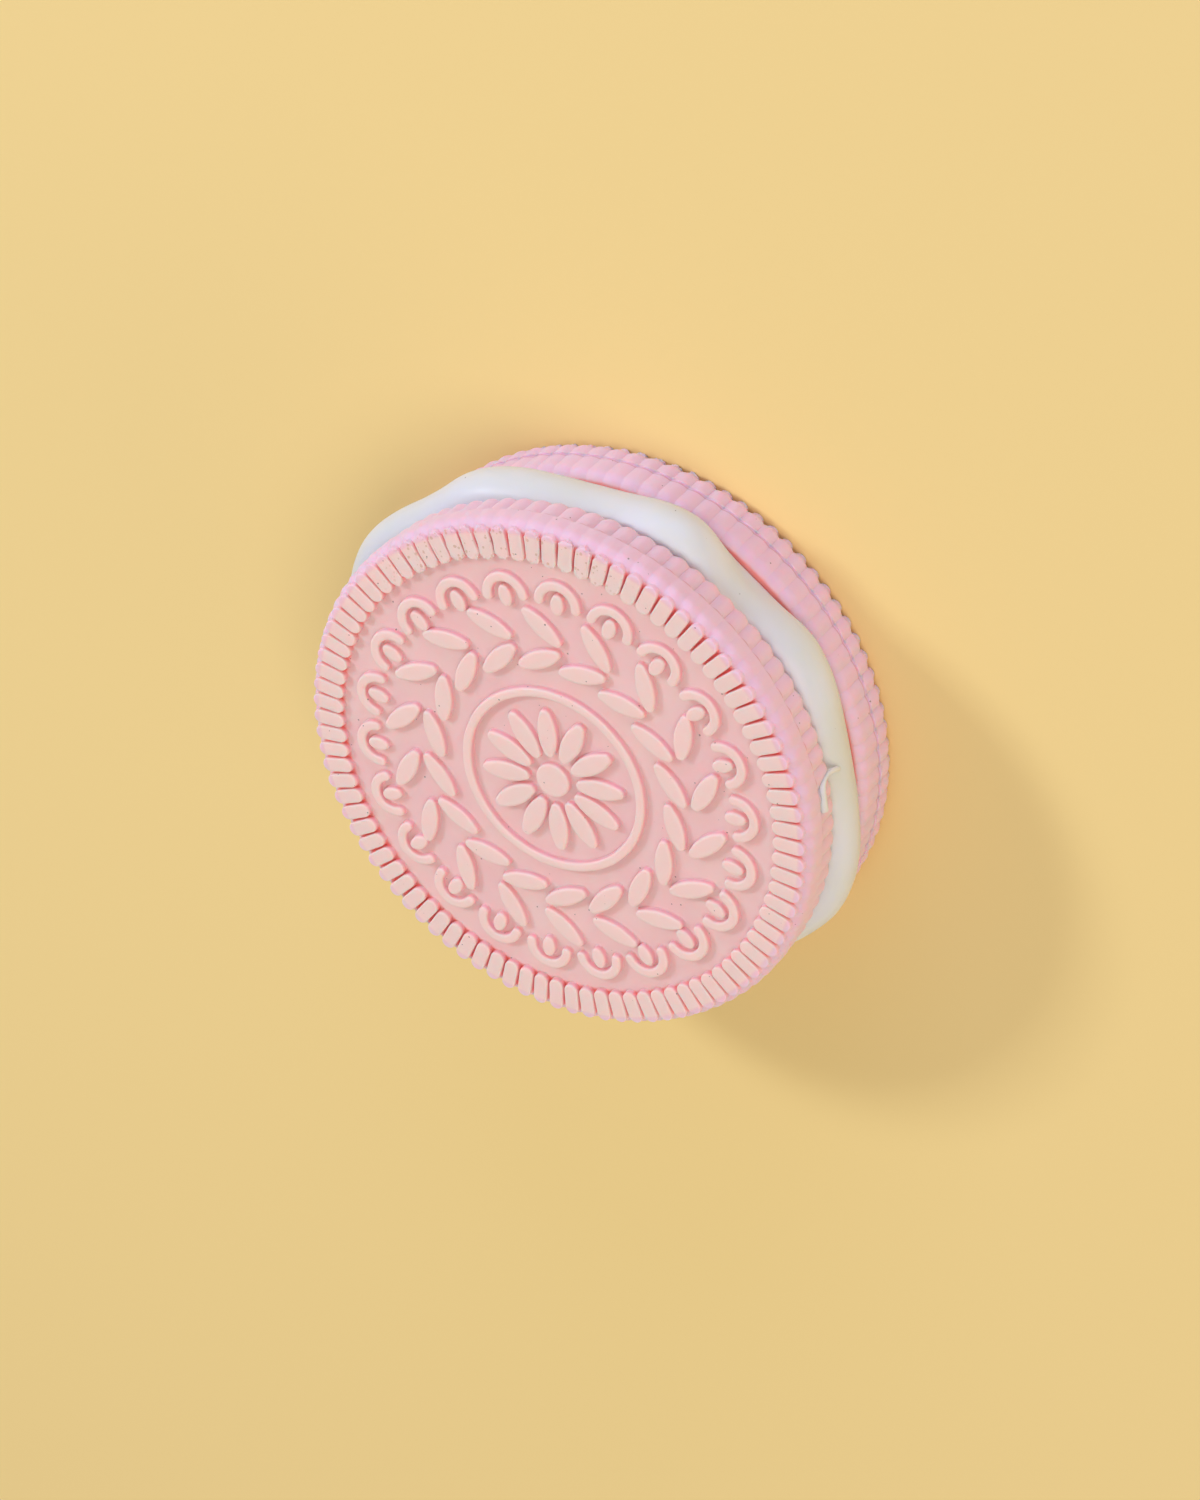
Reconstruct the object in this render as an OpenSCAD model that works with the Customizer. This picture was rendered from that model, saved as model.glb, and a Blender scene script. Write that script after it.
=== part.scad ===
// Round sandwich eraser: two moulded wafers with a soft filling bonded between them.
// Millimetres. The disc lies flat: the axis is +Z and z = 0 is the plane of the raised
// pattern of the bottom wafer, which the eraser rests on.

/* [Wafer] */
// Diameter over the crests of the shoulder
wafer_d = 45; // [36:0.5:60]
// Thickness of one wafer, from its inner face to the tops of its lugs
wafer_t = 5.1; // [4.4:0.1:8]
// Depth of the face field and of the grooves below the lug tops
relief = 0.55; // [0.3:0.05:0.9]
// Radius of the shoulder between the side and the face
shoulder_r = 1.0; // [0.6:0.05:1.2]
// Drop of the shoulder's top below the lug tops
shoulder_drop = 0.1; // [0.05:0.05:0.25]
// Radius of the edge next to the filling
inner_edge_r = 1.0; // [0.6:0.05:1.2]
// Distance of the mould's parting line from the lug tops
parting_depth = 2.4; // [2.2:0.1:2.8]
// Step in at the parting line
parting_step = 0.12; // [0.05:0.01:0.3]

/* [Reeded rim] */
// Number of lugs, and of flutes round the side
lug_count = 90; // [60:1:96]
// Gap between neighbouring lugs where they are closest
lug_gap = 0.15; // [0.1:0.01:0.3]
// Length of a lug along the radius
lug_len = 2.75; // [2:0.05:3.5]
// Distance of the lugs' outer ends from the wafer's edge
lug_inset = 0.44; // [0.3:0.02:0.8]
// Depth of the valleys between the flutes of the shoulder
shoulder_flute = 0.2; // [0.16:0.02:0.3]
// Depth of the valleys between the ribs beside the filling
side_flute = 0.26; // [0.16:0.02:0.3]
// Width of a valley as a share of the distance between two crests
valley_share = 0.713; // [0.4:0.001:0.75]

/* [Filling] */
// Thickness of the filling
filling_t = 4.4; // [3:0.1:7]
// Mean overhang of the bead past the wafers' edge
filling_overhang = 0.5; // [0:0.1:1]
// How far the bead bulges out of its straight part
bead_bulge = 2.0; // [1.5:0.1:2.4]
// Strength of the waves of the bead
wave_gain = 1; // [0:0.1:1.3]

/* [Pattern] */
// Radius of the round boss in the middle
boss_r = 1.5; // [1:0.1:1.8]
// Number of petals round the boss
petal_count = 12; // [8:1:12]
// Gap between the boss and the petals
boss_gap = 0.6; // [0.3:0.05:0.9]
// Gap between neighbouring petals where they are widest
petal_gap = 0.45; // [0.3:0.05:0.8]
// Gap between the petals' tips and the plain ring
ring_gap = 1.0; // [0.4:0.05:1.2]
// Outer radius of the plain ring as a share of the arches' circle
ring_share = 0.5075; // [0.46:0.0005:0.53]
// Width of the plain ring
ring_w = 0.8; // [0.6:0.05:1]
// Number of leaf pairs in the wreath
leaf_count = 18; // [16:1:24]
// Gap along the circle from a leaf's tip to the next pair's stem
leaf_gap = 0.71; // [0.5:0.01:1.2]
// Width of a leaf as a share of its length
leaf_shape = 0.38; // [0.3:0.01:0.42]
// Angle of a leaf to the wreath's circle
leaf_tilt = 33; // [28:1:36]
// Distance of a leaf's stem end from the wreath's circle, as a share of its width
stem_share = 0.22; // [0.15:0.01:0.3]
// Number of arches in the border
arch_count = 22; // [16:1:24]
// Gap between neighbouring arches where they are widest
arch_gap = 0.5; // [0.3:0.05:0.8]
// Width of an arch's band
arch_w = 0.85; // [0.6:0.05:0.95]
// Gap between the arches and the lugs
border_gap = 1.1; // [0.6:0.05:1.4]
// Gap between an arch and the drop under it
drop_gap = 0.25; // [0.15:0.05:0.3]
// Width of a drop as a share of its length
drop_shape = 0.63; // [0.5:0.01:0.8]

/* [Hidden] */
$fn = 64;
// Crests and dips of the filling's outline: [angle, offset from its mean radius]
waves = [[-50, -0.8], [-26, 0.6], [6, -0.6], [30, 0.4], [48, -1.3], [64, 0.6], [84, -0.6],
         [112, 0.7], [123, 0.3], [144, 1.4], [170, -0.2], [195, 0.6], [222, -0.7], [248, 0.5],
         [275, -0.4], [292, 0.3], [310, -0.8]];
wave_steps = 180;
bead_steps = 8;
// How far the raised shapes reach into the wafer, and how far a cut runs past it
sink = 0.3;
clear = 1;
// How far past the crests a valley's cutter goes on widening
valley_lip = 0.05;
// Sizes that follow from others are rounded to this step
drawing_step = 0.01;
wafer_r = wafer_d / 2;
side_r = wafer_r - parting_step;
floor_z = wafer_t - relief;
parting_z = wafer_t - parting_depth;
shoulder_z = wafer_t - shoulder_drop;
lug_outer_r = wafer_r - lug_inset;
lug_inner_r = lug_outer_r - lug_len;
lug_w = stepped(chord(lug_inner_r, lug_count) - lug_gap);
flute_half_w = stepped(valley_share * chord(wafer_r, lug_count) / 2);
// The arches touch the border's circle and leave their gap between them
arch_turn = sin(180 / arch_count);
arch_r = stepped(((lug_inner_r - border_gap) * arch_turn - arch_gap / 2) / (1 + arch_turn));
arch_centre_r = lug_inner_r - border_gap - arch_r;
drop_len = 2 * (arch_r - arch_w - drop_gap);
drop_w = stepped(drop_shape * drop_len);
ring_r = stepped(ring_share * arch_centre_r);
wreath_r = (ring_r + arch_centre_r) / 2;
leaf_len = stepped((chord(wreath_r, leaf_count) - leaf_gap) / cos(leaf_tilt));
leaf_w = stepped(leaf_shape * leaf_len);
petal_len = ring_r - ring_w - ring_gap - boss_gap - boss_r;
petal_mid_r = boss_r + boss_gap + petal_len / 2;
petal_w = stepped(chord(petal_mid_r, petal_count) - petal_gap);
bead_r = wafer_r + filling_overhang - bead_bulge;

// A size rounded to the drawing's step
function stepped(size) = round(size / drawing_step) * drawing_step;

// Distance between two neighbours of a number of points spread evenly round a circle
function chord(r, count) = 2 * r * sin(180 / count);

// A pointed leaf shape: the lens where two equal circles overlap
module lens(length, width) {
    r = (length * length + width * width) / (4 * width);
    intersection() {
        translate([0, width / 2 - r]) circle(r);
        translate([0, r - width / 2]) circle(r);
    }
}

// One lug: a bar with round ends, along the radius
module lug() {
    end_r = lug_w / 2;
    translate([lug_inner_r + end_r, -end_r]) square([lug_len - lug_w, lug_w]);
    translate([lug_inner_r + end_r, 0]) circle(end_r);
    translate([lug_outer_r - end_r, 0]) circle(end_r);
}

module lug_ring() {
    for (i = [0 : lug_count - 1]) rotate(i * 360 / lug_count) lug();
}

// Round boss with a ring of petals, in a plain ring
module rosette() {
    circle(boss_r);
    for (i = [0 : petal_count - 1])
        rotate(i * 360 / petal_count) translate([petal_mid_r, 0]) lens(petal_len, petal_w);
    difference() {
        circle(ring_r);
        circle(ring_r - ring_w);
    }
}

// Pairs of leaves that spread from a shared stem end, all round
module leaf_wreath() {
    for (i = [0 : leaf_count - 1], side = [-1, 1])
        rotate(i * 360 / leaf_count)
            translate([wreath_r + side * stem_share * leaf_w, 0])
                rotate(90 - side * leaf_tilt) translate([leaf_len / 2, 0]) lens(leaf_len, leaf_w);
}

// Half rings that open to the middle, with a drop under each
module arch_border() {
    leg_r = arch_r - arch_w / 2;
    for (i = [0 : arch_count - 1]) rotate(i * 360 / arch_count) translate([arch_centre_r, 0]) {
        intersection() {
            difference() {
                circle(arch_r);
                circle(arch_r - arch_w);
            }
            translate([0, -arch_r]) square([arch_r, 2 * arch_r]);
        }
        for (side = [-1, 1]) translate([0, side * leg_r]) circle(arch_w / 2);
        lens(drop_len, drop_w);
    }
}

// Half section of the wafer without its lugs: x is the radius, inner face at z = 0
module wafer_section() {
    dam_r = wafer_r - shoulder_r;
    square([dam_r, floor_z]);
    square([side_r - inner_edge_r, parting_z]);
    translate([0, inner_edge_r]) square([side_r, parting_z - inner_edge_r]);
    translate([side_r - inner_edge_r, inner_edge_r]) circle(inner_edge_r);
    translate([0, parting_z]) square([wafer_r, shoulder_z - shoulder_r - parting_z]);
    intersection() {
        translate([dam_r, shoulder_z - shoulder_r]) circle(shoulder_r);
        translate([dam_r, 0]) square([2 * shoulder_r, wafer_t]);
    }
}

// Cuts one straight valley down the side, from height z0 to height z1
module valley(crest_r, depth, z0, z1) {
    lip = depth + valley_lip;
    lip_w = flute_half_w * lip / depth;
    translate([crest_r - depth, 0, z0]) linear_extrude(z1 - z0)
        polygon([[0, 0], [lip, lip_w], [clear, lip_w], [clear, -lip_w], [lip, -lip_w]]);
}

module wafer_valleys() {
    for (i = [0 : lug_count - 1]) rotate((i + 0.5) * 360 / lug_count) {
        valley(wafer_r, shoulder_flute, parting_z, wafer_t + clear);
        valley(side_r, side_flute, -clear, parting_z);
    }
}

// Whole wafer with its face up and its inner face at z = 0
module wafer() {
    difference() {
        rotate_extrude($fn = 180) wafer_section();
        wafer_valleys();
    }
    translate([0, 0, floor_z - sink]) linear_extrude(relief + sink) {
        lug_ring();
        rosette();
        leaf_wreath();
        arch_border();
    }
}

module top_wafer() {
    color([0.93, 0.76, 0.74]) translate([0, 0, wafer_t + filling_t]) wafer();
}

module bottom_wafer() {
    color([0.93, 0.76, 0.74]) translate([0, 0, wafer_t]) mirror([0, 0, 1]) wafer();
}

// Outline of the bead: half cosine waves between neighbouring crests and dips
function turned(a) = a < waves[len(waves) - 1][0] ? a : a - 360;
function leg(a) = max([for (i = [0 : len(waves) - 2]) if (waves[i][0] <= a) i]);
function between(a, p, q) =
    p[1] + (q[1] - p[1]) * (1 - cos(180 * (a - p[0]) / (q[0] - p[0]))) / 2;
function wave(a) = wave_gain * between(turned(a), waves[leg(turned(a))], waves[leg(turned(a)) + 1]);

// Ring of points at a height given by the angle on the bead's half round section
function bead_ring(section) = [for (i = [0 : wave_steps - 1])
    let (a = i * 360 / wave_steps, r = bead_r + wave(a) + bead_bulge * cos(section))
    [r * cos(a), r * sin(a), wafer_t + filling_t * (1 + sin(section)) / 2]];

module filling() {
    rings = [for (j = [0 : bead_steps]) each bead_ring(j * 180 / bead_steps - 90)];
    walls = [for (j = [0 : bead_steps - 1], i = [0 : wave_steps - 1])
        let (k = j * wave_steps + i, n = j * wave_steps + (i + 1) % wave_steps)
        [k, k + wave_steps, n + wave_steps, n]];
    bottom = [for (i = [0 : wave_steps - 1]) i];
    top = [for (i = [wave_steps - 1 : -1 : 0]) bead_steps * wave_steps + i];
    color([0.9, 0.88, 0.86]) polyhedron(rings, concat([bottom], walls, [top]));
}

top_wafer();
filling();
bottom_wafer();
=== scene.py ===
"""Looks of a round sandwich eraser: two moulded rubber wafers with a wavy white filling.

The meshes are modelled in millimetres, with the wafer's inner face at z = 0 and its pattern
up, and are scaled to metres and put in their place when they are finished.
"""

import logging
import math
from contextlib import contextmanager
from dataclasses import dataclass
from enum import Enum
from typing import Iterator, Sequence

import bpy
import numpy as np
from mathutils import Matrix, Vector, noise


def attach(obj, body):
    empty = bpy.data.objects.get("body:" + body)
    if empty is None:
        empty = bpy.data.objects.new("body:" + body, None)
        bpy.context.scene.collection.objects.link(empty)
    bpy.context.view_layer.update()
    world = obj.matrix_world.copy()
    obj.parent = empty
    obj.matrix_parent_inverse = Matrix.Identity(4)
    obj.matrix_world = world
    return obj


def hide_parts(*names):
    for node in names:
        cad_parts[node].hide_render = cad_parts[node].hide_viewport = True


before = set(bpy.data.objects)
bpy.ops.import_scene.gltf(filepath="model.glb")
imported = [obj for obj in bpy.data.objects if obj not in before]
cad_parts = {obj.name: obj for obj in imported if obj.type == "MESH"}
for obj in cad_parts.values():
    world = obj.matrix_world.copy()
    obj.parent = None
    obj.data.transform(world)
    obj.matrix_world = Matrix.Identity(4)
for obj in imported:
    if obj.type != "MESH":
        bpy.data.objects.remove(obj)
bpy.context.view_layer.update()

LOG = logging.getLogger("eraser")
MM = 0.001
FULL_TURN = 2 * math.pi
TINY = 1e-4
GRAIN_DEPTH = 0.00005
FIBRE_DEPTH = 0.00006

Rgb = tuple[float, float, float]
Point = tuple[float, float]
Obj = bpy.types.Object
Socket = bpy.types.NodeSocket


def srgb(red: int, green: int, blue: int) -> Rgb:
    """Turn a colour of 0 to 255 per channel into Blender's linear values."""

    def channel(value: int) -> float:
        """Linear value of one channel."""
        share = value / 255
        return share / 12.92 if share <= 0.04045 else ((share + 0.055) / 1.055) ** 2.4

    return channel(red), channel(green), channel(blue)


class Side(Enum):
    """Which way the pattern of a wafer looks."""

    UP = 1
    DOWN = -1


@dataclass(frozen=True)
class EraserSizes:
    """Sizes of the eraser in millimetres, the same as in the construction model."""

    wafer_d: float = 45.0
    wafer_t: float = 5.1
    relief: float = 0.55
    shoulder_r: float = 1.0
    shoulder_drop: float = 0.1
    inner_edge_r: float = 1.0
    parting_depth: float = 2.4
    parting_step: float = 0.12
    lug_count: int = 90
    lug_gap: float = 0.15
    lug_len: float = 2.75
    lug_inset: float = 0.44
    filling_t: float = 4.4
    filling_overhang: float = 0.5
    bead_bulge: float = 2.0
    boss_r: float = 1.5
    petal_count: int = 12
    boss_gap: float = 0.6
    petal_gap: float = 0.45
    ring_gap: float = 1.0
    ring_share: float = 0.5075
    ring_w: float = 0.8
    leaf_count: int = 18
    leaf_gap: float = 0.71
    leaf_shape: float = 0.38
    leaf_tilt: float = 33.0
    stem_share: float = 0.22
    arch_count: int = 22
    arch_gap: float = 0.5
    arch_w: float = 0.85
    border_gap: float = 1.1
    drop_gap: float = 0.25
    drop_shape: float = 0.63

    @staticmethod
    def chord(radius: float, count: int) -> float:
        """Distance between two neighbours of points spread evenly round a circle."""
        return 2 * radius * math.sin(math.pi / count)

    @property
    def wafer_r(self) -> float:
        """Radius over the crests of the shoulder."""
        return self.wafer_d / 2

    @property
    def side_r(self) -> float:
        """Radius over the ribs beside the filling."""
        return self.wafer_r - self.parting_step

    @property
    def floor_z(self) -> float:
        """Height of the face's field."""
        return self.wafer_t - self.relief

    @property
    def lug_outer_r(self) -> float:
        """Radius at the lugs' outer ends."""
        return self.wafer_r - self.lug_inset

    @property
    def lug_inner_r(self) -> float:
        """Radius at the lugs' inner ends."""
        return self.lug_outer_r - self.lug_len

    @property
    def lug_w(self) -> float:
        """Width of a lug."""
        return self.chord(self.lug_inner_r, self.lug_count) - self.lug_gap

    @property
    def arch_r(self) -> float:
        """Outer radius of an arch."""
        turn = math.sin(math.pi / self.arch_count)
        return ((self.lug_inner_r - self.border_gap) * turn - self.arch_gap / 2) / (1 + turn)

    @property
    def arch_centre_r(self) -> float:
        """Radius of the circle that the arches stand on."""
        return self.lug_inner_r - self.border_gap - self.arch_r

    @property
    def drop_len(self) -> float:
        """Length of a drop."""
        return 2 * (self.arch_r - self.arch_w - self.drop_gap)

    @property
    def ring_r(self) -> float:
        """Outer radius of the plain ring."""
        return self.ring_share * self.arch_centre_r

    @property
    def wreath_r(self) -> float:
        """Radius of the leaf wreath's circle."""
        return (self.ring_r + self.arch_centre_r) / 2

    @property
    def leaf_len(self) -> float:
        """Length of a leaf."""
        room = self.chord(self.wreath_r, self.leaf_count) - self.leaf_gap
        return room / math.cos(math.radians(self.leaf_tilt))

    @property
    def petal_len(self) -> float:
        """Length of a petal."""
        return self.ring_r - self.ring_w - self.ring_gap - self.boss_gap - self.boss_r

    @property
    def petal_mid_r(self) -> float:
        """Radius at the middle of the petals."""
        return self.boss_r + self.boss_gap + self.petal_len / 2

    @property
    def petal_w(self) -> float:
        """Width of a petal."""
        return self.chord(self.petal_mid_r, self.petal_count) - self.petal_gap

    @property
    def bead_r(self) -> float:
        """Mean radius of the filling's straight part."""
        return self.wafer_r + self.filling_overhang - self.bead_bulge

    @property
    def total_t(self) -> float:
        """Thickness of the whole eraser."""
        return 2 * self.wafer_t + self.filling_t


# Work on meshes by the edit mode tools


def clear_selection() -> None:
    """Deselect every object."""
    bpy.ops.object.select_all(action="DESELECT")
    bpy.context.view_layer.objects.active = None


def make_active(obj: Obj) -> None:
    """Select one object and no other, and make it the active one."""
    clear_selection()
    obj.select_set(True)
    bpy.context.view_layer.objects.active = obj


def add_object(name: str, data: bpy.types.ID) -> Obj:
    """Put new data in the scene as an object."""
    obj = bpy.data.objects.new(name, data)
    bpy.context.scene.collection.objects.link(obj)
    return obj


@contextmanager
def editing(obj: Obj, keep: bool = False) -> Iterator[None]:
    """Work on one object in edit mode, with all of it selected, or its selection kept."""
    make_active(obj)
    bpy.ops.object.mode_set(mode="EDIT")
    bpy.ops.mesh.select_mode(type="VERT")
    if not keep:
        bpy.ops.mesh.select_all(action="SELECT")
    yield
    bpy.ops.object.mode_set(mode="OBJECT")


def positions(obj: Obj) -> np.ndarray:
    """The vertices' places as rows of x, y and z."""
    places = np.empty(len(obj.data.vertices) * 3)
    obj.data.vertices.foreach_get("co", places)
    return places.reshape(-1, 3)


def set_positions(obj: Obj, places: np.ndarray) -> None:
    """Put the vertices at rows of x, y and z."""
    obj.data.vertices.foreach_set("co", places.ravel())
    obj.data.update()


def pick(obj: Obj, mask: np.ndarray) -> None:
    """Select the vertices that a mask names, and no others."""
    mesh = obj.data
    mesh.vertices.foreach_set("select", mask)
    mesh.edges.foreach_set("select", np.zeros(len(mesh.edges), bool))
    mesh.polygons.foreach_set("select", np.zeros(len(mesh.polygons), bool))


def disc(name: str, points: int, radius: float) -> Obj:
    """Add a filled circle at the origin, whose points lie half a step off the axes."""
    clear_selection()
    bpy.ops.mesh.primitive_circle_add(
        vertices=points, radius=radius, fill_type="NGON",
        location=(0, 0, 0), rotation=(0, 0, math.pi / points),
    )
    obj = bpy.context.object
    obj.name = name
    bpy.ops.object.transform_apply(location=True, rotation=True)
    return obj


def chain(name: str, points: Sequence[Point]) -> Obj:
    """Extrude one vertex through points, each a radius and a height, in the XZ plane."""
    clear_selection()
    bpy.ops.mesh.primitive_plane_add(size=1, location=(points[0][0], 0, points[0][1]))
    obj = bpy.context.object
    obj.name = name
    bpy.ops.object.transform_apply(location=True)
    with editing(obj):
        bpy.ops.mesh.merge(type="CENTER")
        for (r0, z0), (r1, z1) in zip(points, points[1:]):
            bpy.ops.mesh.extrude_vertices_move(
                TRANSFORM_OT_translate={"value": (r1 - r0, 0, z1 - z0)}
            )
    return obj


def spin(steps: int, angle: float, centre: Point = (0, 0), **more: bool) -> None:
    """Spin the selection by an angle in radians about an upright axis."""
    bpy.ops.mesh.spin(steps=steps, angle=angle, center=(*centre, 0), axis=(0, 0, 1), **more)


@dataclass(frozen=True)
class Arc:
    """One arc of an outline: its centre, how far it turns in degrees, and in how many steps."""

    centre: Point
    turn: float
    steps: int


def arc_outline(name: str, start: Point, arcs: Sequence[Arc]) -> Obj:
    """Draw a closed outline by spinning one vertex from arc to arc, and fill it.

    Args:
        name: Name of the object.
        start: First point.
        arcs: The arcs, each from where the last one ended.

    Returns:
        A single flat face that looks up.
    """
    outline = chain(name, [(start[0], 0.0)])
    outline.data.transform(Matrix.Translation((0, start[1], 0)))
    with editing(outline):
        for arc in arcs:
            spin(arc.steps, -math.radians(arc.turn), arc.centre, use_auto_merge=False)
        bpy.ops.mesh.select_all(action="SELECT")
        bpy.ops.mesh.remove_doubles(threshold=TINY)
        bpy.ops.mesh.edge_face_add()
    if outline.data.polygons[0].normal.z < 0:
        outline.data.flip_normals()
    return outline


def repeat_round(obj: Obj, count: int) -> None:
    """Copy a mesh evenly round the Z axis to a total count, and join what meets."""
    with editing(obj):
        spin(count - 1, FULL_TURN * (count - 1) / count, dupli=True)
        bpy.ops.mesh.select_all(action="SELECT")
        bpy.ops.mesh.remove_doubles(threshold=TINY)


def move_shape(obj: Obj, turn: float, place: Point) -> None:
    """Turn a shape about the Z axis by degrees, and then move it."""
    obj.data.transform(
        Matrix.Translation((*place, 0)) @ Matrix.Rotation(math.radians(turn), 4, "Z")
    )


def join(name: str, parts: Sequence[Obj]) -> Obj:
    """Join several objects into one."""
    clear_selection()
    for part in parts:
        part.select_set(True)
    bpy.context.view_layer.objects.active = parts[0]
    bpy.ops.object.join()
    parts[0].name = name
    return parts[0]


def unite(body: Obj, part: Obj) -> None:
    """Merge a closed part into a closed body, and delete the part."""
    make_active(body)
    merge = body.modifiers.new("merge", "BOOLEAN")
    merge.operation = "UNION"
    merge.solver = "MANIFOLD"
    merge.object = part
    bpy.ops.object.modifier_apply(modifier=merge.name)
    bpy.data.objects.remove(part)


def close_up(obj: Obj) -> None:
    """Fill the open ends of a mesh, and turn its faces outwards."""
    with editing(obj):
        bpy.ops.mesh.remove_doubles(threshold=TINY)
        bpy.ops.mesh.fill_holes(sides=0)
        bpy.ops.mesh.select_all(action="SELECT")
        bpy.ops.mesh.normals_make_consistent(inside=False)


def dress(obj: Obj, finish: bpy.types.Material) -> None:
    """Scale a finished mesh to metres, and give it its material."""
    obj.data.transform(Matrix.Scale(MM, 4))
    obj.data.materials.clear()
    obj.data.materials.append(finish)


@dataclass(frozen=True)
class ReliefSection:
    """Section of a raised shape, from its foot to its top.

    Each step is how far the outline draws in and how far it rises, in millimetres.
    """

    flare: float
    steps: tuple[tuple[float, float], ...]

    def raise_from(self, outline: Obj, floor_z: float, sink: float) -> None:
        """Turn a flat outline into a closed raised shape.

        Args:
            outline: A single face at z = 0.
            floor_z: Height that the foot stands on.
            sink: How far the shape reaches below that.
        """
        outline.data.transform(Matrix.Translation((0, 0, floor_z - sink)))
        with editing(outline):
            bpy.ops.mesh.extrude_region_move(TRANSFORM_OT_translate={"value": (0, 0, sink)})
            for draw_in, rise in self.steps:
                bpy.ops.mesh.inset(
                    thickness=draw_in, depth=rise, use_boundary=True, use_even_offset=True
                )
            bpy.ops.mesh.select_all(action="SELECT")
            bpy.ops.mesh.normals_make_consistent(inside=False)


MOTIF_SECTION = ReliefSection(
    flare=0.05,
    steps=(
        (0.03, 0.03), (0.016, 0.06), (0.012, 0.13), (0.012, 0.16), (0.018, 0.06),
        (0.03, 0.045), (0.05, 0.035), (0.08, 0.022), (0.1, 0.008),
    ),
)
LUG_SECTION = ReliefSection(
    flare=0.06,
    steps=(
        (0.02, 0.05), (0.012, 0.14), (0.008, 0.24), (0.014, 0.055), (0.024, 0.037),
        (0.04, 0.02), (0.06, 0.008), (0.1, 0.0),
    ),
)


# The wafers


@dataclass(frozen=True)
class Flutes:
    """Depth of the flutes on a wafer, in millimetres, and how sharp their valleys are.

    The side lies between the parting line and the filling, the band between the line and the
    rounding of the face.
    """

    side: float
    band: float
    rounding: float
    sharp: float


TOP_FLUTES = Flutes(side=0.26, band=0.05, rounding=0.18, sharp=0.4)
BOTTOM_FLUTES = Flutes(side=0.14, band=0.25, rounding=0.2, sharp=0.75)


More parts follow.
